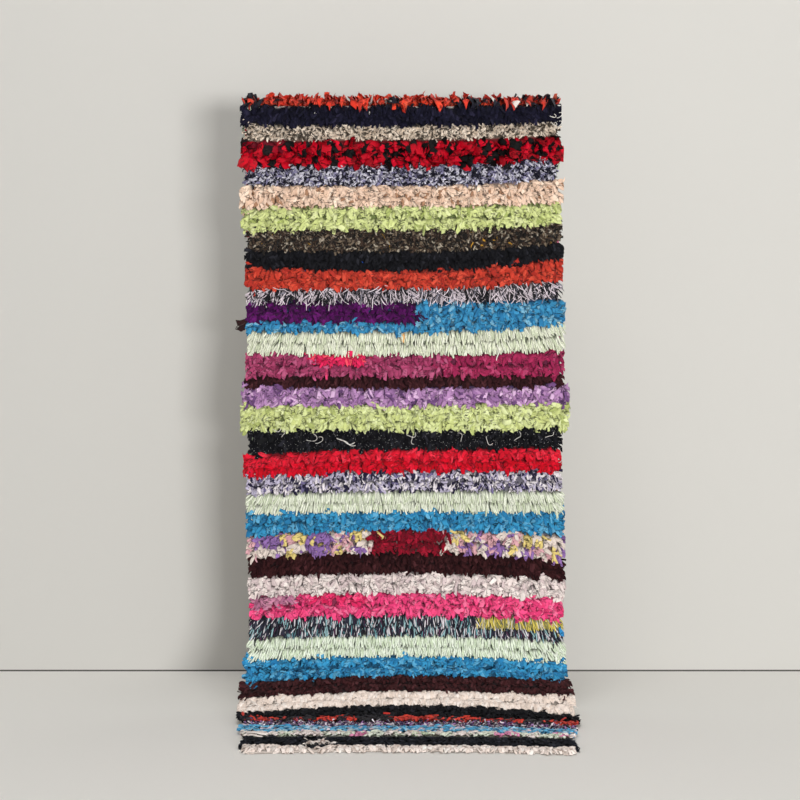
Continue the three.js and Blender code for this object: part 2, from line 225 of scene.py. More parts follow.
def along(row, x, share):
    """Length along the cloth, at x, of the line a share of the way down a row."""
    u = 2 * (x - row.left) / (row.right - row.left) - 1
    side = (u > 0).astype(int)
    sag = (1 - share) * row.top_sag[side] + share * row.bottom_sag[side]
    return (1 - share) * row.top + share * row.bottom + sag * u * u


front_rows = rows_of(FRONT_STRIPES, 1)
flap_rows = rows_of(FLAP_STRIPES, -1)
all_rows = {**front_rows, **flap_rows}


def new_mesh(name, points, quads, dyes, maps, smooth=True):
    """A mesh object of quads, with the colour of each point and flat maps by name."""
    mesh = bpy.data.meshes.new(name)
    mesh.vertices.add(len(points))
    mesh.vertices.foreach_set("co", points.astype(np.float32).ravel())
    mesh.loops.add(quads.size)
    mesh.loops.foreach_set("vertex_index", quads.astype(np.int32).ravel())
    mesh.polygons.add(len(quads))
    mesh.polygons.foreach_set("loop_start", np.arange(0, quads.size, 4, dtype=np.int32))
    mesh.polygons.foreach_set("use_smooth", np.full(len(quads), smooth))
    dye_and_shade = mesh.attributes.new("dye_and_shade", "FLOAT_COLOR", "POINT")
    opaque = np.ones((len(points), 1))
    dye_and_shade.data.foreach_set("color", np.hstack([dyes, opaque]).astype(np.float32).ravel())
    for layer_name, uvs in maps.items():
        layer = mesh.uv_layers.new(name=layer_name)
        layer.uv.foreach_set("vector", uvs[quads.ravel()].astype(np.float32).ravel())
    mesh.update(calc_edges=True)
    mesh.validate()
    piece = bpy.data.objects.new(name, mesh)
    scene.collection.objects.link(piece)
    return piece


def cells(index, turned=False):
    """The faces between the rows and columns of numbered points, turned to face the other way."""
    corners = [index[..., :-1, :-1], index[..., :-1, 1:], index[..., 1:, 1:], index[..., 1:, :-1]]
    if turned:
        corners[1], corners[3] = corners[3], corners[1]
    return np.stack(corners, axis=-1).reshape(-1, 4)


def shader_of(name, roughness, sheen, specular=0.3):
    """A new material whose base colour waits to be linked, and its node tree."""
    material = bpy.data.materials.new(name)
    material.use_nodes = True
    tree = material.node_tree
    shader = tree.nodes["Principled BSDF"]
    shader.inputs["Roughness"].default_value = roughness
    shader.inputs["Sheen Weight"].default_value = sheen
    shader.inputs["Sheen Roughness"].default_value = 0.5
    shader.inputs["Specular IOR Level"].default_value = specular
    return material, tree, shader


def add_node(tree, kind, inputs=None, **settings):
    """A node with its own settings, each input in inputs holding a value or fed by a socket."""
    node = tree.nodes.new(kind)
    for setting, value in settings.items():
        setattr(node, setting, value)
    for name, value in (inputs or {}).items():
        if isinstance(value, bpy.types.NodeSocket):
            tree.links.new(value, node.inputs[name])
        else:
            node.inputs[name].default_value = value
    return node


def dyed_shaded_and_mottled(tree, scale, low, high):
    """A colour: each point's dye with its painted shade, times a fine mottling between two
    strengths.
    """
    dye_and_shade = add_node(tree, "ShaderNodeAttribute", attribute_name="dye_and_shade")
    place = add_node(tree, "ShaderNodeTexCoord")
    grain = {"Vector": place.outputs["Object"], "Scale": scale, "Detail": 3, "Roughness": 0.6}
    noise = add_node(tree, "ShaderNodeTexNoise", grain)
    span = {"From Min": 0.3, "From Max": 0.7, "To Min": low, "To Max": high}
    fade = add_node(tree, "ShaderNodeMapRange", {"Value": noise.outputs["Fac"], **span})
    return scaled(tree, dye_and_shade.outputs["Color"], fade.outputs["Result"])


def scaled(tree, colour, strength):
    """A colour times a strength, both of them sockets."""
    sides = {0: colour, "Scale": strength}
    return add_node(tree, "ShaderNodeVectorMath", sides, operation="SCALE").outputs["Vector"]


def thread_relief(tree, across, lengthwise, operation, strength, depth):
    """The relief of crossed threads on a piece's flat map, by their number each way."""
    uv = add_node(tree, "ShaderNodeUVMap", uv_map="cloth").outputs["UV"]
    waves = [
        add_node(tree, "ShaderNodeTexWave", {"Vector": uv, "Scale": number}, bands_direction=way)
        for number, way in ((across, "X"), (lengthwise, "Y"))
    ]
    both = add_node(tree, "ShaderNodeMath", operation=operation)
    for wave, side in zip(waves, both.inputs):
        tree.links.new(wave.outputs["Fac"], side)
    relief = {"Height": both.outputs["Value"], "Strength": strength, "Distance": depth}
    return add_node(tree, "ShaderNodeBump", relief).outputs["Normal"]


def ground_sheet():
    """The closed sheet of the ground: back dyed rib by rib with relief on the ribs, face in painted
    shade.
    """
    rng = np.random.default_rng(11)
    rows = [row for stripe in FLAP_STRIPES[::-1] for row in flap_rows[stripe[0]][::-1]]
    rows += [row for stripe in FRONT_STRIPES for row in front_rows[stripe[0]]]
    lines = []
    for row in rows:
        steps = max(2, round((row.bottom - row.top) / BACK_STEP))
        shares = np.arange(steps) / steps
        lines += [(row, share if row.way > 0 else 1 - share) for share in shares]
    lines.append((rows[-1], 1.0))
    u = np.linspace(-1, 1, BACK_COLUMNS + 1)
    points = []
    dyes = []
    for row, share in lines:
        x = row.left + (row.right - row.left) * (u + 1) / 2
        s = along(row, x, share) * row.way
        rib = abs(share - RIB_PLACE) * (row.bottom - row.top) < KNOT_RIB / 2
        ripple = rng.uniform(-RIPPLE, RIPPLE, len(x))
        back = ripple - KNOT_RELIEF * rib
        if abs(s[0]) > STRETCH_STARTS[-2, 0]:
            back = np.abs(ripple)
        edge = np.abs(u) == 1
        back = np.where(edge, GROUND / 2, back)
        front = np.where(edge, GROUND / 2, GROUND)
        points.append(np.concatenate([on_cloth(x, s, front), on_cloth(x, s, back)]))
        weft = linear(WEFT_DYES[rng.integers(0, len(WEFT_DYES))])
        showing = rng.uniform(*(DYE_ON_RIB if rib else DYE_BETWEEN), (len(x), 1))
        dye_and_shade = showing * row.back_dye + (1 - showing) * weft
        dye_and_shade = dye_and_shade * rng.uniform(*DYE_UNEVEN, (len(x), 1))
        # The face takes its stripe's dye darkened by painted shade, less of it on the floor.
        on_floor = row.top > LESS_SHADE_FROM and row.way > 0
        face_dye_and_shade = row.back_dye * (FLOOR_PAINTED_SHADE if on_floor else DROP_PAINTED_SHADE)
        if row.top < BARE_FOLD:
            face_dye_and_shade = linear(BARE_DYE)
        dyes.append(np.concatenate([np.tile(face_dye_and_shade, (len(x), 1)), dye_and_shade]))
    wide = BACK_COLUMNS + 1
    ring = 2 * wide
    grid = np.arange(len(lines) * ring).reshape(len(lines), ring)
    face = grid[:, :wide]
    back = grid[:, wide:]
    sides = [(face[:, 0], back[:, 0]), (back[:, -1], face[:, -1])]
    ends = [(back[0], face[0]), (face[-1], back[-1])]
    rims = [cells(np.stack(pair, axis=-1)) for pair in sides + ends]
    quads = np.concatenate([cells(face, turned=True), cells(back), *rims])
    points = np.concatenate(points)
    middle = [along(row, np.zeros(1), share)[0] * row.way for row, share in lines]
    across = np.tile(np.concatenate([u, u]), len(lines)) * MAP_HALF_WIDTH
    cloth = np.stack([across, np.repeat(middle, ring) / 1000], axis=-1)
    return new_mesh("woven_ground", points, quads, np.concatenate(dyes), {"cloth": cloth})


def weft_finish():
    """Wool wefts beaten over cotton warps: fine ribs across, pinched at every warp."""
    material, tree, shader = shader_of("weft_and_warp", 0.95, 0.15)
    dyed = dyed_shaded_and_mottled(tree, 320.0, 0.8, 1.12)
    relief = thread_relief(tree, 55.0, 110.0, "ADD", 0.5, 0.0012)
    tree.links.new(dyed, shader.inputs["Base Color"])
    tree.links.new(relief, shader.inputs["Normal"])
    return material


woven_ground = ground_sheet()
woven_ground.data.materials.append(weft_finish())
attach(woven_ground, "root")
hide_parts("rug")

# ---- Cotton rags --------------------------------------------------------------------
# Torn strips of cotton sheet and shirt, most of them 8 to 17 mm wide, knotted in rows and
# cut 30 to 43 mm long. They hang over the row below, crumpled, each at its own slant.

# Heights of a rag above the ground's back: at its knot, and at the least over the ground and
# past its edges.
ROOT_HEIGHT = 3.5
LOWEST = GROUND + 0.4
CLEAR_OF_FLOOR = 0.6
# The length of the waves in which rags lean together, grow longer and sit lower in a row.
CLUMP = 62
LENGTH_CLUMP = CLUMP * 0.7
ROW_WAVE = 110
# How far the rags at the sides lean outward, in degrees.
SIDE_LEAN = 26
# No angle strays further than this many standard deviations.
SPREAD_LIMIT = 1.7
# A rag's cut end is out of square by up to this share of its half width.
CUT_SLANT = 0.9
# How much of its kind's pleat a rag has.
PLEATED = (0.3, 1)
# From the knot to this share of its length its neighbours hold a rag, and painted shade darkens its
# colour towards the knot.
IN_THE_PILE = 0.5
# A knot strays along its row by up to this share of the spacing.
OFF_PLACE = 0.6
# What reaches too far past the side is drawn back by this share.
DRAWN_BACK = 0.8
# Rows further apart than this have their knots spread over the rest.
CLOSE_ROWS = 26
CLOTH_ENDS = {
    1: sum(stripe[1] for stripe in FRONT_STRIPES),
    -1: sum(stripe[1] for stripe in FLAP_STRIPES),
}

# How a kind of rag is cut and falls. Lengths and widths are in millimetres and angles in
# degrees. rise is its slope at the knot and lie at its tip, slant and bend turn it sideways
# on the cloth, roll and twist turn it about itself. across lists its columns of points from
# edge to edge as place, height of the pleat and the share of colour that painted shade leaves
# in its hollows. root_shade is the share of colour that painted shade leaves at its knot.
cotton_look = SimpleNamespace(
    length=37,
    uneven=0.16,
    clumps=0.08,
    width=12.5,
    width_uneven=0.4,
    rise=60,
    rise_spread=9,
    lie=-6,
    lie_spread=14,
    slant=30,
    bend=50,
    roll=16,
    twist=26,
    across=((-1, -0.25, 1), (0.1, 0.35, 1), (1, -0.25, 1)),
    crumple=1.0,
    outline=(0.5, 1.0, 0.8),
    rings=6,
    spacing=7.6,
    layers=3,
    roots=(-6, 2),
    late=0,
    past=14,
    wave=3.5,
    root_shade=0.1,
    fade=0.05,
    smooth=True,
)


def look_like(look, **changes):
    """A kind of rag that differs from another only in the values given."""
    return SimpleNamespace(**{**vars(look), **changes})


def wander(x, rng, size, wave):
    """A slow random line along x, about as high as size, with waves near wave long."""
    line = np.zeros_like(x)
    for part in (1.0, 0.55, 0.31):
        line += part * np.sin(2 * np.pi * x / (wave * part) + rng.uniform(0, 2 * np.pi))
    return size * line / 1.3


def knot_tufts(row, x, down, look, rng, lean=0.0):
    """The points of ribbons knotted at x, down below a row's top, by tuft, ring and column."""
    count = len(x)
    t = np.linspace(0, 1, look.rings)
    mid = (t[1:] + t[:-1]) / 2

    def spread(size):
        return np.radians(size) * np.clip(rng.normal(size=count), -SPREAD_LIMIT, SPREAD_LIMIT)

    length = look.length * (1 + look.uneven * rng.uniform(-1, 1, count))
    length = length * (1 + wander(x, rng, look.clumps, LENGTH_CLUMP))
    half = look.width / 2 * (1 + look.width_uneven * rng.uniform(-1, 1, count))
    rise = math.radians(look.rise) + spread(look.rise_spread)
    lie = math.radians(look.lie) + spread(look.lie_spread)
    yaw = spread(look.slant) + lean
    bend = spread(look.bend)
    roll = spread(look.roll)
    twist = spread(look.twist)

    def frames(at):
        up = rise[:, None] + (lie - rise)[:, None] * np.sin(at * np.pi / 2)
        turn = yaw[:, None] + bend[:, None] * at
        level = np.stack([np.cos(turn), -np.sin(turn), np.zeros_like(turn)], axis=-1)
        ahead = np.stack(
            [np.sin(turn) * np.cos(up), np.cos(turn) * np.cos(up), np.sin(up)], axis=-1
        )
        return ahead, level, np.cross(level, ahead)

    ahead, _, _ = frames(mid)
    centre = np.zeros((count, look.rings, 3))
    centre[:, 0, 0] = x
    centre[:, 0, 1] = along(row, x, down / (row.bottom - row.top))
    centre[:, 0, 2] = ROOT_HEIGHT
    steps = ahead * (length / (look.rings - 1))[:, None, None]
    centre[:, 1:] = centre[:, :1] + np.cumsum(steps, axis=1)
    ahead, level, over = frames(t)
    turned = (roll[:, None] + twist[:, None] * t)[..., None]
    side = level * np.cos(turned) + over * np.sin(turned)
    facing = over * np.cos(turned) - level * np.sin(turned)
    across, pleat, _ = np.array(look.across, dtype=float).T
    wide = half[:, None] * np.interp(t, (0, 0.5, 1), look.outline)
    raised = rng.uniform(*PLEATED, count)[:, None] * wide
    points = (
        centre[:, :, None]
        + side[:, :, None] * (wide[:, :, None] * across)[..., None]
        + facing[:, :, None] * (raised[:, :, None] * pleat)[..., None]
    )
    cut = rng.uniform(-CUT_SLANT, CUT_SLANT, count)[:, None] * wide[:, -1:] * across
    points[:, -1] += ahead[:, -1, None] * cut[..., None]
    loose = np.minimum(t / IN_THE_PILE, 1)[None, :, None, None]
    points += look.crumple * loose * rng.normal(size=points.shape)
    over = np.maximum(points[..., 0] - row.right - look.past, 0)
    under = np.minimum(points[..., 0] - row.left + look.past, 0)
    points[..., 0] -= (over + under) * DRAWN_BACK
    outside = (points[..., 0] < row.left) | (points[..., 0] > row.right)
    outside |= points[..., 1] > CLOTH_ENDS[row.way]
    floor = np.where(outside, CLEAR_OF_FLOOR, LOWEST)
    points[:, 1:, :, 2] = np.maximum(points[..., 2], floor)[:, 1:]
    return points


# Where a row's knots sit lower or higher than the rest: stripe, row, from and to in x, and
# how far down.
PARTED = (
    ("navy", 0, -400, -270, 10),
    ("navy", 0, -110, -85, 10),
    ("navy", 0, 120, 150, 9),
    ("navy", 0, 330, 460, -8),
    ("navy", 0, -480, -410, -7),
    ("blue_mid", 0, 58, 88, -14),
    ("black_fleck", 1, -455, -400, 8),
    ("black_fleck", 1, -140, -105, 10),
    ("cream_end", 0, -250, -194, -34),
)


def spread_along(row, look, rng):
    """Where a row's tufts are knotted: their x, and how far below its top, by layer."""
    per_layer = round((row.right - row.left) / look.spacing)
    count = per_layer * look.layers
    x = row.left + (row.right - row.left) * (np.arange(count) % per_layer + 0.5) / per_layer
    x = x + rng.uniform(-OFF_PLACE, OFF_PLACE, count) * look.spacing
    first, last = look.roots
    last += max(row.bottom - row.top - CLOSE_ROWS, 0)
    down = rng.uniform(first, last, count) + wander(x, rng, look.wave, ROW_WAVE)
    if row.place == 0:
        down += look.late
    for stripe, place, start, end, shift in PARTED:
        if stripe == row.stripe and place == row.place:
            down[(x > start) & (x < end)] += shift
    return x, down


def pick_dyes(dyes, count, rng):
    """A random colour for each tuft, from rows of weight, red, green and blue."""
    table = np.array(dyes, dtype=float)
    picked = rng.choice(len(table), count, p=table[:, 0] / table[:, 0].sum())
    return linear(table[picked, 1:])


# In these stripes neighbouring knots share one rag, over this much of the row. Bundles are
# counted from a little outside the row, and meet unevenly by a share of their size.
BUNDLED = ("pansy", "orange_low", "mint_end")
BUNDLE = 19
ONE_KNOT = 0.1
COUNTED_FROM = 20
BUNDLE_BLUR = 0.2
PATCH_BLUR = 6


def patched_dyes(palettes, patches):
    """Dyes for a row from its stripe's palette, or from the patch that a tuft stands in."""

    def dyes_of(row, x, rng):
        size = BUNDLE if row.stripe in BUNDLED else ONE_KNOT
        blur = rng.uniform(-BUNDLE_BLUR, BUNDLE_BLUR, len(x)) * size
        beside = x - row.left + COUNTED_FROM + blur
        bundles = np.maximum(beside / size, 0).astype(int)
        dyes = pick_dyes(palettes[row.stripe], bundles.max() + 1, rng)[bundles]
        for stripe, first, last, start, end, patch in patches:
            if stripe == row.stripe and first <= row.place <= last:
                near = x + rng.uniform(-PATCH_BLUR, PATCH_BLUR, len(x))
                inside = (near > start) & (near < end)
                dyes[inside] = pick_dyes(patch, int(inside.sum()), rng)
        return dyes

    return dyes_of


def rags_of(row, x, down, look, dyes_of, rng, lean):
    """Tufts ready to join: their points in the scene, colours with painted shade, faces and flat
    maps.
    """
    tufts = knot_tufts(row, x, down, look, rng, lean)
    count, rings, columns = tufts.shape[:3]
    colours = dyes_of(row, x, rng) * (1 + look.fade * rng.normal(size=(count, 1)))
    t = np.linspace(0, 1, rings)
    # Painted shade: the colour darkens towards the knot and, column by column, in the hollows.
    lit = look.root_shade + (1 - look.root_shade) * np.minimum(t / IN_THE_PILE, 1)
    across, _, hollow_shade = np.array(look.across, dtype=float).T
    shades = colours[:, None, None] * lit[None, :, None, None] * hollow_shade[None, None, :, None]
    index = np.arange(count * rings * columns).reshape(count, rings, columns)
    quads = cells(index)
    flat = np.stack(np.meshgrid(across * look.width / 2000, t * look.length / 1000), axis=-1)
    edged = np.stack(np.meshgrid(across, t), axis=-1)[None].repeat(count, axis=0)
    return SimpleNamespace(
        points=on_cloth(tufts[..., 0], row.way * tufts[..., 1], tufts[..., 2]).reshape(-1, 3),
        shades=np.clip(shades.reshape(-1, 3), 0, 1),
        quads=quads if row.way > 0 else quads[:, ::-1],
        cloth=(rng.uniform(0, 1, (count, 1, 1, 2)) + flat[None]).reshape(-1, 2),
        edges=edged.reshape(-1, 2),
        smooth=look.smooth,
    )


def joined(name, batches, materials):
    """One piece from batches of rags, each batch in its own material."""
    starts = np.cumsum([0] + [len(batch.points) for batch in batches[:-1]])
    quads = np.concatenate([batch.quads + start for batch, start in zip(batches, starts)])
    points, shades, cloth, edges = (
        np.concatenate([getattr(batch, part) for batch in batches])
        for part in ("points", "shades", "cloth", "edges")
    )
    maps = {"cloth": cloth, "edges": edges}
    piece = new_mesh(name, points, quads, shades, maps, batches[0].smooth)
    used = list(dict.fromkeys(materials))
    for material in used:
        piece.data.materials.append(material)
    slots = [np.full(len(b.quads), used.index(m)) for b, m in zip(batches, materials)]
    piece.data.polygons.foreach_set("material_index", np.concatenate(slots).astype(np.int32))
    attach(piece, "root")
    return piece


kinds = {}


def pile_of(stripe, look, dyes_of, material, seed, lean_size):
    """The pile of one stripe, and a note of how its rags are made for the rim."""
    rng = np.random.default_rng(seed)
    batches = []
    for row in all_rows[stripe]:
        x, down = spread_along(row, look, rng)
        u = 2 * (x - row.left) / (row.right - row.left) - 1
        lean = np.radians(wander(x, rng, lean_size, CLUMP) + SIDE_LEAN * u * u * u)
        batches.append(rags_of(row, x, down, look, dyes_of, rng, lean))
    kinds[stripe] = (look, dyes_of, material)
    joined(f"pile_{stripe}", batches, [material] * len(batches))


def piles_of(palettes, patches, look, material, seed, lean_size=14, others=None):
    """The piles of like stripes. others gives some of them a look and material apart."""
    dyes_of = patched_dyes(palettes, patches)
    for number, stripe in enumerate(palettes):
        kind = (others or {}).get(stripe, (look, material))
        pile_of(stripe, kind[0], dyes_of, kind[1], seed + number, lean_size)


def crease_shade_lines(tree, number, half_width, darkness):
    """1 on smooth cloth and less in its creases, which run mostly across and break off: painted
    crease shade, also used as relief.
    """
    place = add_node(tree, "ShaderNodeTexCoord").outputs["Object"]
    drawn = add_node(tree, "ShaderNodeMapping", {"Vector": place, "Scale": (0.4, 1, 1)})
    grain = {"Vector": drawn.outputs["Vector"], "Scale": number, "Detail": 1, "Distortion": 0.6}
    ridged = add_node(tree, "ShaderNodeTexNoise", grain)
    halves = {0: ridged.outputs["Fac"], 1: 0.5}
    level = add_node(tree, "ShaderNodeMath", halves, operation="SUBTRACT")
    away = add_node(tree, "ShaderNodeMath", {0: level.outputs["Value"]}, operation="ABSOLUTE")
    grain = {"Vector": place, "Scale": number * 0.6, "Detail": 0}
    patchy = add_node(tree, "ShaderNodeTexNoise", grain)
    span = {"From Min": 0.5, "From Max": 0.62, "To Max": 0.2}
    gaps = add_node(tree, "ShaderNodeMapRange", {"Value": patchy.outputs["Fac"], **span})
    sides = {0: away.outputs["Value"], 1: gaps.outputs["Result"]}
    ends = add_node(tree, "ShaderNodeMath", sides, operation="ADD")
    span = {"From Max": half_width, "To Min": darkness}
    lines = add_node(tree, "ShaderNodeMapRange", {"Value": ends.outputs["Value"], **span})
    return lines.outputs["Result"]


def rag_finish(name, roughness, sheen, threads, edge=(0.75, 0.4), crease=None, specular=0.3):
    """Rag dyed in the piece, its threads in relief and painted shade along its edges. edge gives
    where across the rag that painted shade begins and how dark it gets. crease gives the creases
    of crumpled cloth as their number to the metre, width and darkness, painted in as shade."""
    material, tree, shader = shader_of(name, roughness, sheen, specular)
    dyed = dyed_shaded_and_mottled(tree, 260.0, 0.92, 1.08)
    edges = add_node(tree, "ShaderNodeUVMap", uv_map="edges")
    parts = add_node(tree, "ShaderNodeSeparateXYZ", {"Vector": edges.outputs["UV"]})
    aside = add_node(tree, "ShaderNodeMath", {0: parts.outputs["X"]}, operation="ABSOLUTE")
    # Painted shade darkens the colour towards the rag's edges.
    span = {"From Min": edge[0], "To Min": 1.0, "To Max": edge[1]}
    span["Value"] = aside.outputs["Value"]
    edge_shade = add_node(tree, "ShaderNodeMapRange", span, interpolation_type="SMOOTHSTEP")
    colour = scaled(tree, dyed, edge_shade.outputs["Result"])
    normal = thread_relief(tree, threads, threads, "MULTIPLY", 0.35, 0.0005)
    if crease is not None:
        # The creases are painted into the colour as shade, and also raise the relief.
        crease_shade = crease_shade_lines(tree, *crease)
        colour = scaled(tree, colour, crease_shade)
        relief = {"Height": crease_shade, "Normal": normal, "Strength": 0.9, "Distance": 0.002}
        normal = add_node(tree, "ShaderNodeBump", relief).outputs["Normal"]
    tree.links.new(colour, shader.inputs["Base Color"])
    tree.links.new(normal, shader.inputs["Normal"])
    return material


# Palettes of the cotton stripes: weight, red, green, blue.
COTTON_DYES = {
    "orange_crest": ((5, 234, 66, 40), (3, 216, 52, 32), (2, 244, 92, 62)),
    "peach": ((5, 233, 202, 179), (3, 224, 190, 165), (2, 243, 218, 196), (1.2, 166, 126, 98)),
    "lime": ((5, 208, 216, 147), (3, 198, 207, 134), (2, 219, 225, 164), (1, 166, 178, 104)),
    "orange": ((5, 190, 58, 42), (3, 168, 46, 36), (2, 208, 74, 54)),
    "purple_blue": ((5, 58, 138, 182), (3, 42, 116, 162), (2, 116, 172, 200)),
    "raspberry": ((5, 164, 64, 102), (3, 146, 50, 87), (2, 184, 88, 125)),
    "lavender": ((5, 180, 136, 182), (3, 152, 110, 158), (2, 214, 176, 212), (1.2, 110, 74, 122)),
    "lime_low": ((5, 208, 216, 150), (3, 198, 206, 134), (2, 220, 227, 169), (1, 172, 182, 110)),
    "red": ((5, 206, 4, 34), (3, 186, 2, 26), (2, 222, 22, 50)),
    "blue_mid": ((5, 54, 143, 188), (3, 40, 119, 166), (2, 93, 166, 204)),
    "pansy": ((3, 222, 207, 197), (2, 224, 202, 127), (2, 143, 107, 168), (2, 216, 165, 172)),
    "blush": ((5, 231, 216, 211), (3, 212, 193, 192), (2, 240, 228, 222)),
    "pink": ((5, 244, 80, 134), (3, 226, 62, 118), (2, 248, 116, 158)),
    "blue_low": ((5, 56, 150, 198), (3, 42, 126, 176), (2, 94, 174, 214)),
    "cream": ((5, 240, 224, 212), (3, 230, 212, 198), (2, 247, 235, 225)),
    "orange_low": ((2.6, 230, 64, 44), (1.2, 208, 48, 34), (4.8, 34, 31, 36)),
    "blue_end": ((5, 100, 190, 232), (2, 66, 160, 210), (3, 176, 218, 238), (1.5, 232, 214, 224)),
    "grey_lilac": ((5, 188, 180, 202), (3.6, 40, 36, 62), (4.6, 228, 220, 224), (1, 112, 104, 142)),
    "mint_end": ((5, 240, 247, 228), (3, 250, 238, 232), (0.9, 238, 150, 190), (0.8, 216, 232, 198)),
    "cream_end": ((5, 249, 235, 226), (3, 238, 222, 211), (2, 253, 244, 236)),
    "orange_back": ((5, 222, 74, 48), (3, 205, 60, 40), (2, 236, 96, 66)),
    "blue_back": ((5, 46, 148, 208), (3, 34, 124, 184), (2, 84, 172, 226)),
    "cream_back": ((5, 232, 220, 212), (3, 214, 200, 192), (2, 240, 232, 226)),
}

ORANGE_RAGS = ((5, 214, 62, 44), (2, 190, 46, 36))

# Where a weaver ran out of one rag and went on with another: stripe, first and last row,
# from and to in x, and the rags used there.
COTTON_PATCHES = (
    ("orange_crest", 0, 0, -480, -365, ((5, 24, 23, 40), (4, 234, 66, 40))),
    ("orange_crest", 0, 0, -90, -10, ((4, 24, 23, 40), (4, 234, 66, 40), (1, 240, 234, 226))),
    ("orange_crest", 0, 0, 150, 480, ((5, 24, 23, 40), (4, 226, 60, 42), (1, 240, 234, 226))),
    ("purple_blue", 0, 1, -480, 40, ((5, 74, 8, 78), (3, 54, 4, 60), (2, 94, 20, 98))),
    ("raspberry", 0, 0, -263, -109, ((5, 226, 40, 92), (3, 210, 30, 80), (2, 240, 80, 100))),
    ("raspberry", 0, 1, 110, 480, ((5, 160, 40, 82), (3, 144, 32, 74), (2, 178, 64, 104))),
    ("red", 0, 0, -480, 480, ((5, 216, 24, 48), (3, 198, 14, 38), (2, 228, 46, 66))),
    ("pansy", 0, 1, -91, 123, ((5, 132, 10, 34), (3, 104, 6, 26), (2, 160, 20, 46))),
    ("pink", 0, 0, -446, -320, ((5, 196, 128, 156), (3, 176, 108, 140), (2, 214, 150, 172))),
    ("pink", 0, 0, -246, -109, ((5, 238, 56, 112), (3, 224, 42, 98), (2, 246, 88, 132))),
    ("orange_low", 0, 1, -480, -412, ((5, 40, 34, 44), (1, 190, 60, 50))),
    ("orange_low", 0, 1, -352, -240, ((5, 34, 31, 36), (1.5, 200, 56, 44))),
    ("orange_low", 0, 1, -30, 84, ORANGE_RAGS),
    ("orange_low", 0, 1, 405, 470, ORANGE_RAGS),
    ("orange_low", 0, 1, -410, -355, ORANGE_RAGS),
)


# On the fold the rags stand nearly upright. On the floor they are narrower and lie closer,
# so that less of their roots shows, and their roots carry less painted shade. Printed
# shirting is cut narrow too.
crest_look = look_like(
    cotton_look,
    length=34,
    width=18,
    spacing=8.6,
    rise=84,
    rise_spread=12,
    lie=40,
    lie_spread=16,
    slant=34,
    roots=(-8, 2),
    clumps=0.24,
    root_shade=0.7,
)
floor_look = look_like(
    cotton_look,
    width=10,
    length=33,
    spacing=7.0,
    layers=4,
    rise=68,
    lie=-40,
    rise_spread=6,
    lie_spread=8,
    roll=9,
    twist=14,
    crumple=0.7,
    root_shade=0.9,
)
tall_look = look_like(floor_look, rise=80, lie=-10, slant=44)
light_look = look_like(tall_look, length=27, rise=66, lie=-14, roots=(-2, 10), root_shade=0.95)
print_look = look_like(cotton_look, width=6.5, length=28, spacing=4.8, roots=(-6, 5))

# The second cotton is like the first with much less painted shade in its creases and along its
# edges; it dresses the rags on the floor.
cotton = rag_finish("torn_cotton", 0.9, 0.08, 520.0, (0.78, 0.42), (90.0, 0.042, 0.12), 0.15)
less_shaded_cotton = rag_finish("cotton_with_less_painted_shade", 0.9, 0.1, 520.0, (0.8, 0.75), (90.0, 0.035, 0.7))
other_cottons = {
    "orange_crest": (crest_look, cotton),
    "orange_back": (crest_look, cotton),
    "cream": (floor_look, less_shaded_cotton),
    "orange_low": (tall_look, less_shaded_cotton),
    "blue_end": (light_look, less_shaded_cotton),
    "mint_end": (light_look, less_shaded_cotton),
    "cream_end": (floor_look, less_shaded_cotton),
    "grey_lilac": (print_look, cotton),
}
piles_of(COTTON_DYES, COTTON_PATCHES, cotton_look, cotton, 100, others=other_cottons)

# ---- Jersey strips ------------------------------------------------------------------
# Cotton jersey cut in even strips 3 to 6 mm wide, which roll at their edges. They hang side by
# side like a fringe, their cut ends lying over the row below.

jersey_look = look_like(
    cotton_look,
    length=36,
    uneven=0.12,
    clumps=0.05,
    width=4.8,
    width_uneven=0.25,
    rise=56,
    rise_spread=7,
    lie=-2,
    lie_spread=8,
    slant=7,
    bend=7,
    roll=10,
    twist=10,
    across=((-1, -0.4, 1), (0, 0.3, 1), (1, -0.4, 1)),
    crumple=0.3,
    outline=(0.85, 1.0, 0.8),
    rings=5,
    spacing=4.6,
    layers=4,
    roots=(-9, 2),
    wave=2,
    root_shade=0.15,
    fade=0.04,
)
JERSEY_DYES = {
    "mint": ((5, 223, 226, 203), (3, 206, 213, 183), (2, 234, 236, 217)),
    "mint_mid": ((5, 220, 225, 204), (3, 201, 210, 180), (2, 231, 234, 216)),
    "jersey": (
        (5, 46, 46, 62),
        (4, 28, 28, 38),
        (2, 150, 186, 190),
        (3, 222, 216, 220),
        (1, 80, 44, 72),
        (1, 96, 150, 156),
    ),
    "mint_low": ((5, 230, 240, 218), (3, 213, 227, 196), (2, 240, 247, 230)),
    "mint_back": ((5, 222, 232, 208), (3, 206, 220, 188), (2, 232, 240, 222)),
}
STRAW_RAGS = ((5, 222, 202, 96), (3, 146, 142, 82), (2, 216, 208, 184), (1, 84, 94, 104))
JERSEY_PATCHES = (("jersey", 0, 0, 203, 446, STRAW_RAGS),)
striped_look = look_like(jersey_look, width=3.4, slant=12, spacing=3.6)
jersey = rag_finish("cut_jersey", 0.9, 0.1, 700.0, (0.55, 0.35))
striped = {"jersey": (striped_look, jersey)}
piles_of(JERSEY_DYES, JERSEY_PATCHES, jersey_look, jersey, 200, lean_size=8, others=striped)

# ---- Knitted bits -------------------------------------------------------------------
# Flecked woollen knits cut small. They frizz into short curls, light and dark side by side,
# and stand in a dense crumb over the whole row.

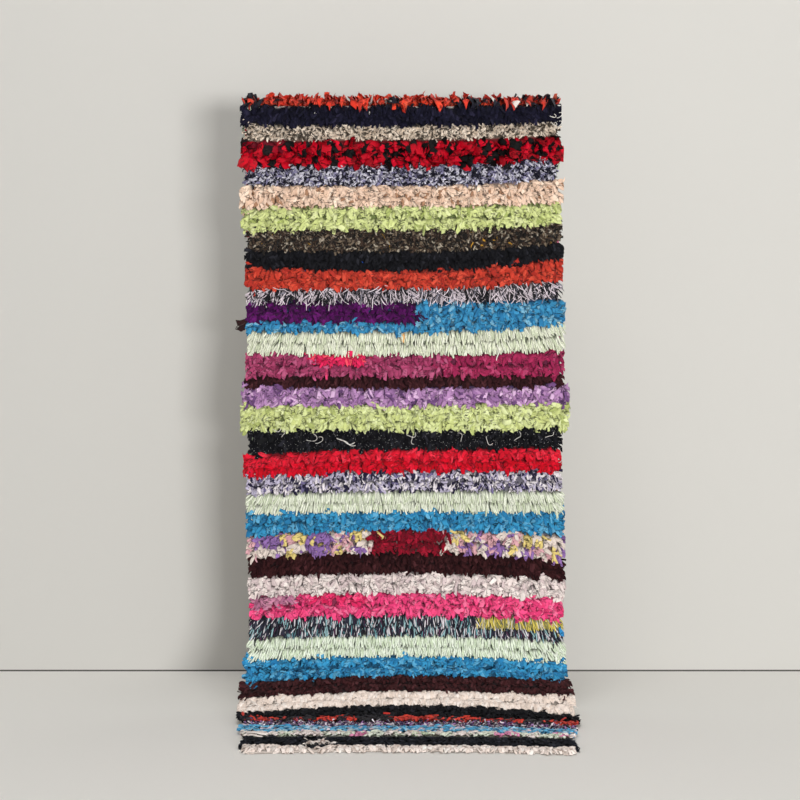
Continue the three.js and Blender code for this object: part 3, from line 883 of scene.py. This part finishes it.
knit_look = look_like(
    cotton_look,
    length=17,
    uneven=0.35,
    clumps=0.1,
    width=5.6,
    width_uneven=0.35,
    rise=56,
    rise_spread=22,
    lie_spread=30,
    slant=66,
    bend=74,
    roll=30,
    twist=44,
    across=((-1, 0, 0.8), (1, 0, 1.0)),
    crumple=0.7,
    outline=(0.75, 1.0, 0.7),
    rings=5,
    spacing=4.4,
    layers=8,
    roots=(-5, 16),
    wave=2,
    root_shade=0.25,
    fade=0.06,
    smooth=False,
)
KNIT_DYES = {
    "oat": ((5, 238, 222, 204), (4, 219, 199, 178), (3.5, 72, 62, 52)),
    "denim_fleck": ((4.5, 220, 217, 230), (3, 138, 134, 166), (5.9, 16, 14, 36)),
    "tweed": (
        (4, 66, 50, 40),
        (4, 26, 21, 17),
        (2, 122, 106, 88),
        (1, 178, 166, 148),
        (0.05, 196, 146, 50),
    ),
    "fleck_low": ((3, 96, 74, 120), (4, 248, 238, 244), (1.6, 34, 30, 42), (2, 192, 142, 200)),
}
frizz = rag_finish("frizzed_knit", 0.95, 0.1, 900.0, (0.7, 0.6))
low_knit_look = look_like(knit_look, width=4.4, spacing=3.8, rise=46, root_shade=0.6)
low_knit = {"fleck_low": (low_knit_look, frizz)}
piles_of(KNIT_DYES, (), knit_look, frizz, 300, others=low_knit)

# ---- Two-colour yarn ----------------------------------------------------------------
# Black and white knitting yarn, about 3 mm thick. It is knotted close in a single row and
# left long, so that it falls in locks.

yarn_look = look_like(
    cotton_look,
    length=42,
    uneven=0.25,
    clumps=0.1,
    width=2.8,
    width_uneven=0.15,
    rise_spread=16,
    lie=-2,
    lie_spread=16,
    slant=24,
    bend=40,
    roll=20,
    twist=20,
    across=((-1, 0, 0.7), (0, 0.9, 1), (1, 0, 0.7)),
    crumple=0.4,
    outline=(0.9, 1.0, 0.8),
    rings=7,
    spacing=3.0,
    layers=4,
    roots=(-10, 6),
    wave=3,
    root_shade=0.3,
)
YARN_DYES = {"magpie": ((5, 236, 222, 230), (5.2, 22, 22, 30), (1, 138, 134, 147))}
yarn = rag_finish("knitting_yarn", 0.9, 0.15, 1100.0, (0.4, 0.5))
piles_of(YARN_DYES, (), yarn_look, yarn, 400, lean_size=26)

# ---- Satin rags ---------------------------------------------------------------------
# Broad strips of red lining satin and black cloth, 15 to 40 mm wide, thin and smooth. They
# are knotted further apart than the other rags and fall in open folds.

satin_look = look_like(
    cotton_look,
    length=34,
    uneven=0.3,
    clumps=0.12,
    width=28,
    width_uneven=0.45,
    rise=62,
    rise_spread=12,
    lie_spread=20,
    slant=34,
    bend=40,
    roll=26,
    twist=46,
    across=((-1, -0.2, 1), (0.1, 0.3, 1), (1, -0.2, 1)),
    crumple=1.5,
    outline=(0.4, 1.0, 0.55),
    spacing=16,
    roots=(-7, 3),
    late=5,
    wave=4,
)
SATIN_DYES = {"red_black": ((5, 182, 1, 28), (3, 150, 0, 20), (2, 204, 6, 38), (4.6, 12, 10, 11))}
satin = rag_finish("lining_satin", 0.5, 0.0, 1200.0, (0.86, 0.35), (60.0, 0.05, 0.03), 0.12)
SATIN_PATCHES = (
    ("red_black", 0, 0, -480, -325, ((4, 104, 8, 28), (3, 26, 16, 18), (2, 150, 6, 30))),
)
piles_of(SATIN_DYES, SATIN_PATCHES, satin_look, satin, 500)

# ---- Dark fleece --------------------------------------------------------------------
# Brushed fleece and wool in black, navy and plum, cut 6 to 12 mm wide. The knots stand
# close, and the pile mats into one soft dark roll.

fleece_look = look_like(
    cotton_look,
    length=30,
    uneven=0.15,
    width=9,
    width_uneven=0.3,
    rise=56,
    rise_spread=10,
    lie=0,
    lie_spread=12,
    slant=24,
    bend=20,
    roll=14,
    twist=18,
    across=((-1, -0.1, 0.8), (0, 0.3, 1), (1, -0.1, 0.8)),
    crumple=0.8,
    outline=(0.7, 1.0, 0.85),
    rings=5,
    spacing=8.0,
    layers=4,
    roots=(-8, 6),
    wave=3,
    root_shade=0.6,
    fade=0.06,
)
FLEECE_DYES = {
    "navy": ((5, 26, 25, 42), (3, 19, 18, 32), (1, 40, 38, 58)),
    "black": ((5, 26, 26, 30), (3, 18, 18, 22), (1, 40, 40, 46)),
    "plum": ((5, 62, 31, 35), (3, 46, 23, 26), (1, 80, 43, 47)),
    "black_fleck": ((5, 26, 26, 30), (3, 18, 18, 22), (1, 40, 40, 46)),
    "plum_mid": ((5, 56, 27, 29), (3, 42, 19, 22), (1, 72, 38, 41)),
    "plum_low": ((5, 70, 35, 37), (3, 53, 25, 27), (1, 88, 48, 51)),
    "black_low": ((5, 28, 28, 32), (3, 20, 20, 24), (1, 44, 44, 50)),
    "black_end": ((5, 36, 38, 46), (3, 24, 26, 32), (1, 54, 56, 66)),
    "plum_back": ((5, 62, 30, 38), (3, 46, 22, 28), (1, 80, 42, 50)),
}
# The first navy row is tied high on the fold, close under the rags that stand there.
high_look = look_like(fleece_look, roots=(-20, 3))
# By the floor's end it is beaten flat, so the pale row behind shows over it.
flat_look = look_like(fleece_look, rise=34, lie=-20, roots=(4, 12))


def add_dots(material, number, radius, colour):
    """Small round dots on a finished rag, by their number to the metre and their size."""
    tree = material.node_tree
    base = tree.nodes["Principled BSDF"].inputs["Base Color"]
    uv = add_node(tree, "ShaderNodeUVMap", uv_map="cloth").outputs["UV"]
    cells = add_node(tree, "ShaderNodeTexVoronoi", {"Vector": uv, "Scale": number})
    limits = {0: cells.outputs["Distance"], 1: radius}
    inside = add_node(tree, "ShaderNodeMath", limits, operation="LESS_THAN")
    mix = add_node(tree, "ShaderNodeMix", data_type="RGBA")
    tree.links.new(inside.outputs["Value"], mix.inputs["Factor"])
    tree.links.new(base.links[0].from_socket, mix.inputs["A"])
    mix.inputs["B"].default_value = (*linear(colour), 1)
    tree.links.new(mix.outputs["Result"], base)


fleece = rag_finish("dark_fleece", 1.0, 0.04, 400.0, (0.8, 0.8), (80.0, 0.05, 0.6), 0.08)
dotted = rag_finish("dotted_fleece", 1.0, 0.04, 400.0, (0.8, 0.7), (90.0, 0.05, 0.6), 0.08)
add_dots(dotted, 200.0, 0.12, (226, 224, 220))
other_fleeces = {
    "navy": (high_look, fleece),
    "black_end": (flat_look, fleece),
    "black_fleck": (fleece_look, dotted),
}
piles_of(FLEECE_DYES, (), fleece_look, fleece, 600, others=other_fleeces)

# ---- Rim ----------------------------------------------------------------------------
# The outermost knots of every row, and those of the last row at each end. With no
# neighbour to lean on, their rags fall outward past the edge of the ground.

# Rags of a row at its side, for each layer of knots and millimetre between them.
RIM_RAGS = 16
RIM_ROOTS = 14
RIM_LEAN = 60
# Where in its row a side's rag is knotted, as a share of the row's run.
RIM_SPAN = (-0.3, 0.6)
END_RAGS = 150
# How far below its row's bottom an end's rag is knotted.
END_ROOTS = (-20, -11)


def side_rim(side, seed):
    """The rags that fall outward along one side, each row in its own stuff."""
    rng = np.random.default_rng(seed)
    way_out = 1 if side == "right" else -1
    batches = []
    materials = []
    for stripe, rows in all_rows.items():
        look, dyes_of, material = kinds[stripe]
        for row in rows:
            edge = row.right if way_out > 0 else row.left
            count = round(RIM_RAGS * look.layers / look.spacing)
            x = edge - way_out * rng.uniform(0, RIM_ROOTS, count)
            down = rng.uniform(*RIM_SPAN, count) * (row.bottom - row.top)
            lean = way_out * np.radians(rng.uniform(0, RIM_LEAN, count))
            batches.append(rags_of(row, x, down, look, dyes_of, rng, lean))
            materials.append(material)
    piece = joined(f"{side}_rim", batches, materials)
    nodes = [part["node"] for part in frame["record"]["subparts"]]
    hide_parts(*[node for node in nodes if node.startswith(f"{side}_locks")])


def end_rim(name, stripe, node, seed):
    """The rags of the last row that fall past the cut end of the ground."""
    rng = np.random.default_rng(seed)
    look, dyes_of, material = kinds[stripe]
    row = all_rows[stripe][-1]
    x = rng.uniform(row.left, row.right, END_RAGS)
    down = (row.bottom - row.top) + rng.uniform(*END_ROOTS, END_RAGS)
    batch = rags_of(row, x, down, look, dyes_of, rng, np.zeros(END_RAGS))
    piece = joined(name, [batch], [material])
    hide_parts(node)


side_rim("left", 701)
side_rim("right", 702)
end_rim("floor_end_rim", "cream_end", "floor_end_locks", 703)
end_rim("flap_end_rim", "cream_back", "flap_end_locks", 704)

# ---- Selvedges ----------------------------------------------------------------------
# Down both sides the wefts turn round a thick cord of warps, wrapped close with short
# lengths of leftover yarn, one colour after another.

CORD_RADIUS = 3.0
CORD_HEIGHT = 3.4
CORD_SIDES = 6
# How far short of the cloth's ends it stops, and how far and how slowly it strays in and out.
CORD_SHORT = 3
CORD_STRAY = 0.8
CORD_WAVE = 160
# A wrap is thicker at its middle than where it meets the next.
WRAP_PITCH = 2.4
WRAP_SWELL = 0.35
WRAP_PINCH = -0.15
# The turn round the cord that counts as a millimetre on its flat map.
DEGREES_PER_MM = 20
# How many turns one yarn makes before the next takes over, from and up to.
TURNS = (5, 26)
CORD_DYES = (
    (5, 34, 32, 36),
    (2, 226, 216, 206),
    (2, 176, 22, 40),
    (1, 224, 120, 150),
    (1, 70, 36, 40),
    (1, 190, 204, 176),
)


def tube_quads(rings, sides):
    """The faces of a tube whose points are numbered ring after ring."""
    index = np.arange(rings * sides).reshape(rings, sides)
    return cells(np.hstack([index, index[:, :1]]), turned=True)


def tube_points(x, s, h, turn, radius, sides):
    """Points round a cord that runs along x, s and h, turned to the right of straight down."""
    angle = np.radians(np.arange(0, 360, 360 / sides))[None, :]
    aside = radius[:, None] * np.cos(angle)
    around_x = x[:, None] + np.cos(turn)[:, None] * aside
    around_s = s[:, None] - np.sin(turn)[:, None] * aside
    around_h = h[:, None] + radius[:, None] * np.sin(angle)
    return on_cloth(around_x, around_s, around_h).reshape(-1, 3)


def selvedge(side, seed):
    """A wrapped cord along one side of the ground, from the flap's end to the floor."""
    rng = np.random.default_rng(seed)
    places = []
    for stripe in FLAP_STRIPES[::-1]:
        places += [(-row.top, getattr(row, side)) for row in flap_rows[stripe[0]][::-1]]
    for stripe in FRONT_STRIPES:
        places += [(row.bottom, getattr(row, side)) for row in front_rows[stripe[0]]]
    at, edges = np.array(places).T
    s = np.arange(CORD_SHORT - CLOTH_ENDS[-1], CLOTH_ENDS[1] - CORD_SHORT, WRAP_PITCH / 2)
    ring = np.arange(len(s))
    x = np.interp(s, at, edges) + wander(s, rng, CORD_STRAY, CORD_WAVE)
    radius = CORD_RADIUS + np.where(ring % 2 == 0, WRAP_SWELL, WRAP_PINCH)
    height = np.full(len(s), CORD_HEIGHT)
    points = tube_points(x, s, height, np.zeros(len(s)), radius, CORD_SIDES)
    starts = np.cumsum(rng.integers(*TURNS, len(s)))
    wraps = np.searchsorted(starts, ring // 2, side="right")
    dyes = pick_dyes(CORD_DYES, wraps.max() + 1, rng)[wraps]
    quads = tube_quads(len(s), CORD_SIDES)
    around = np.tile(np.arange(0, 360, 360 / CORD_SIDES) / DEGREES_PER_MM, len(s))
    flat = np.stack([np.repeat(s, CORD_SIDES), around], axis=-1) / 1000
    maps = {"cloth": flat, "edges": np.zeros_like(flat)}
    cord = new_mesh(f"{side}_selvedge", points, quads, np.repeat(dyes, CORD_SIDES, axis=0), maps)
    cord.data.materials.append(yarn)
    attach(cord, "root")
    return cord


selvedges = [selvedge("left", 711), selvedge("right", 712)]

# ---- Odd scraps ---------------------------------------------------------------------
# Single rags of some other stuff. They are knotted in like the rest, between the rags of a
# row, where the weaver had one to use up.

# Each scrap: stripe and row it is knotted in, x, how far below the row's top, how far it
# turns to the right, its length and width, and its colour.
SCRAPS = (
    ("purple_blue", 2, -446, 2, -76, 44, 20, (52, 26, 28)),
    ("purple_blue", 2, -446, 8, -66, 40, 18, (40, 22, 24)),
    ("purple_blue", 2, -444, 16, -92, 34, 12, (60, 34, 34)),
    ("mint", 0, -2, -2, 4, 30, 20, (232, 176, 112)),
    ("mint", 0, 0, 4, -8, 28, 17, (236, 184, 124)),
    ("purple_blue", 2, 286, 18, 12, 24, 9, (232, 150, 122)),
    ("red_black", 2, -446, -10, -34, 48, 26, (196, 6, 30)),
    ("red_black", 2, -440, -2, -22, 50, 24, (178, 4, 26)),
    ("red_black", 2, -428, 4, -12, 46, 22, (200, 10, 34)),
    ("raspberry", 1, -222, 0, 6, 52, 7, (232, 70, 120)),
    ("raspberry", 1, -230, 4, -8, 46, 6, (240, 96, 138)),
    ("black", 0, -122, 22, 10, 16, 7, (34, 96, 214)),
    ("black", 1, -77, 4, -14, 16, 8, (34, 96, 214)),
    ("black", 1, -288, 20, 20, 16, 7, (40, 110, 220)),
    ("navy", 0, -258, 6, 20, 14, 6, (224, 220, 214)),
    ("navy", 0, -250, 10, -30, 12, 5, (224, 220, 214)),
    ("navy", 0, -96, 6, 0, 14, 6, (224, 220, 214)),
    ("jersey", 0, 446, 10, 14, 40, 12, (46, 132, 188)),
    ("cream_end", 0, -248, -12, -36, 34, 10, (250, 240, 232)),
    ("cream_end", 0, -240, -24, -22, 38, 10, (246, 234, 226)),
    ("cream_end", 0, -231, -36, -8, 40, 11, (250, 242, 236)),
    ("cream_end", 0, -221, -44, 2, 42, 12, (252, 244, 238)),
    ("cream_end", 0, -212, -38, 10, 40, 11, (246, 234, 226)),
    ("cream_end", 0, -203, -26, 24, 38, 10, (250, 240, 232)),
    ("cream_end", 0, -195, -12, 38, 34, 10, (250, 242, 236)),
    ("orange_crest", 0, -452, 4, -20, 24, 10, (196, 212, 184)),
    ("orange_crest", 0, -447, 8, 6, 24, 9, (204, 218, 192)),
)

rng = np.random.default_rng(721)
batches = []
for stripe, place, x, down, turn, length, width, colour in SCRAPS:
    look = look_like(
        cotton_look,
        length=length,
        width=width,
        slant=4,
        bend=14,
        rise=66,
        lie=6,
        root_shade=0.6,
        past=70,
    )
    dyes_of = patched_dyes({stripe: ((1, *colour),)}, ())
    row = all_rows[stripe][place]
    at = np.array([float(x)])
    below = np.array([float(down)])
    batches.append(rags_of(row, at, below, look, dyes_of, rng, math.radians(turn)))
scraps = joined("odd_scraps", batches, [cotton] * len(batches))

# ---- Loose threads ------------------------------------------------------------------
# Threads and narrow strips drawn out of the rags, most of them white. They curl over the
# pile.

THREAD_WHITE = (226, 222, 216)
THREAD_CREAM = (236, 232, 226)
# Each thread: x, s, its first turn to the right from straight down, how far it curls on,
# its length and width, and its colour.
THREADS = (
    (-352, 935, -20, -130, 34, 1.6, THREAD_WHITE),
    (-346, 940, 30, -90, 26, 1.4, THREAD_WHITE),
    (-262, 952, 60, -200, 52, 1.6, THREAD_WHITE),
    (-250, 966, 120, -240, 46, 1.4, THREAD_WHITE),
    (-196, 962, 40, 60, 58, 2.0, (232, 228, 222)),
    (-186, 968, 52, 24, 50, 1.8, (232, 228, 222)),
    (32, 946, 10, -160, 40, 1.6, THREAD_WHITE),
    (28, 958, -60, 120, 30, 1.4, THREAD_WHITE),
    (152, 950, 80, -120, 34, 1.4, THREAD_WHITE),
    (238, 958, -40, 150, 38, 1.5, THREAD_WHITE),
    (330, 944, 20, -100, 36, 1.5, THREAD_WHITE),
    (402, 962, 70, 90, 32, 1.5, THREAD_WHITE),
    (266, 694, 4, -14, 58, 3.0, (240, 238, 228)),
    (428, 36, 60, -220, 30, 1.8, THREAD_CREAM),
    (436, 46, 40, 230, 32, 1.8, THREAD_CREAM),
    (430, 60, 70, -260, 30, 1.8, THREAD_CREAM),
    (438, 72, 60, 200, 28, 1.6, THREAD_CREAM),
    (-412, 1998, 30, 70, 62, 5.0, (238, 226, 218)),
    (-414, 2012, 46, 50, 56, 4.5, (244, 234, 226)),
    (-408, 2030, 10, 110, 50, 4.0, (238, 226, 218)),
    (-452, 634, -80, 40, 36, 2.0, (60, 40, 36)),
    (-452, 656, -96, -30, 30, 1.8, (44, 30, 28)),
)
THREAD_STEPS = 14
THREAD_HEIGHT = 19
THREAD_ARCH = 4
THREAD_WIGGLE = 24
THREAD_WAVES = 1.3
THREAD_SIDES = 4

points = []
shades = []
quads = []
for x, s, heading, curl, length, width, colour in THREADS:
    t = np.linspace(0, 1, THREAD_STEPS)
    wiggle = THREAD_WIGGLE * np.sin(2 * np.pi * t * THREAD_WAVES)
    turn = np.radians(heading + curl * t + wiggle)
    step = length / (THREAD_STEPS - 1)
    path_x = x + np.cumsum(np.sin(turn)) * step
    path_s = s + np.cumsum(np.cos(turn)) * step
    lift = THREAD_HEIGHT + THREAD_ARCH * np.sin(np.pi * t)
    radius = np.full(THREAD_STEPS, width / 2)
    first = sum(len(part) for part in points)
    points.append(tube_points(path_x, path_s, lift, turn, radius, THREAD_SIDES))
    shades.append(np.tile(linear(colour), (THREAD_STEPS * THREAD_SIDES, 1)))
    quads.append(first + tube_quads(THREAD_STEPS, THREAD_SIDES))
points = np.concatenate(points)
flat = np.zeros((len(points), 2))
maps = {"cloth": flat, "edges": flat}
threads = new_mesh("loose_threads", points, np.concatenate(quads), np.concatenate(shades), maps)
threads.data.materials.append(yarn)
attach(threads, "root")

# ---- Floor, wall, light and camera --------------------------------------------------
# A pale wall and floor with a dark joint between them. A wide lamp stands low behind the
# camera, to its right, and a larger one hangs high in front.

WALL = 0.53
WALL_TOP = 6
JOINT = 0.005
STAGE_REACH = 8
EYE_HEIGHT = 0.89
EYE_DISTANCE = 3.947
EYE_ASIDE = -0.0114
LENS = 61.4


def stage_plane(name, corners, colour):
    """A plain backdrop plane that is no part of the rug."""
    mesh = bpy.data.meshes.new(name)
    mesh.from_pydata(corners, [], [(0, 1, 2, 3)])
    plane = bpy.data.objects.new(name, mesh)
    scene.collection.objects.link(plane)
    material, _, shader = shader_of(name, 0.9, 0.0, 0.1)
    shader.inputs["Base Color"].default_value = (*linear(colour), 1)
    mesh.materials.append(material)


floor = -FLOOR_DROP / 1000
near = [(-STAGE_REACH, -STAGE_REACH, floor), (STAGE_REACH, -STAGE_REACH, floor)]
foot = [(STAGE_REACH, WALL, floor), (-STAGE_REACH, WALL, floor)]
joint = [(STAGE_REACH, WALL, floor + JOINT), (-STAGE_REACH, WALL, floor + JOINT)]
head = [(STAGE_REACH, WALL, WALL_TOP), (-STAGE_REACH, WALL, WALL_TOP)]
stage_plane("floor", near + foot, (238, 236, 231))
stage_plane("joint", foot[::-1] + joint, (92, 90, 86))
stage_plane("wall", joint[::-1] + head, (203, 201, 196))


def soft_light(name, place, aim, size, power):
    """A rectangular lamp of size, width and height, at place and turned to face aim."""
    light = bpy.data.lights.new(name, "AREA")
    light.shape = "RECTANGLE"
    light.size, light.size_y = size
    light.energy = power
    lamp = bpy.data.objects.new(name, light)
    scene.collection.objects.link(lamp)
    lamp.location = place
    direction = np.array(aim) - np.array(place)
    lamp.rotation_euler = (
        math.atan2(math.hypot(direction[0], direction[1]), -direction[2]),
        0,
        math.atan2(-direction[0], direction[1]),
    )


soft_light("key", (2.0, -6.7, -1.2), (0, 0, -0.85), (1.6, 0.9), 300)
soft_light("high", (-0.3, -3.0, 4.6), (0, -0.2, -1.2), (3, 3), 140)
world = bpy.data.worlds.new("studio")
scene.world = world
world.use_nodes = True
world.node_tree.nodes["Background"].inputs["Color"].default_value = (1, 1, 1, 1)
world.node_tree.nodes["Background"].inputs["Strength"].default_value = 0.35
scene.view_settings.view_transform = "Standard"

camera = bpy.data.objects.new("camera", bpy.data.cameras.new("camera"))
scene.collection.objects.link(camera)
camera.location = (EYE_ASIDE, -EYE_DISTANCE, floor + EYE_HEIGHT)
camera.rotation_euler = (math.pi / 2, 0, 0)
camera.data.sensor_width = 36
camera.data.lens = LENS
scene.camera = camera
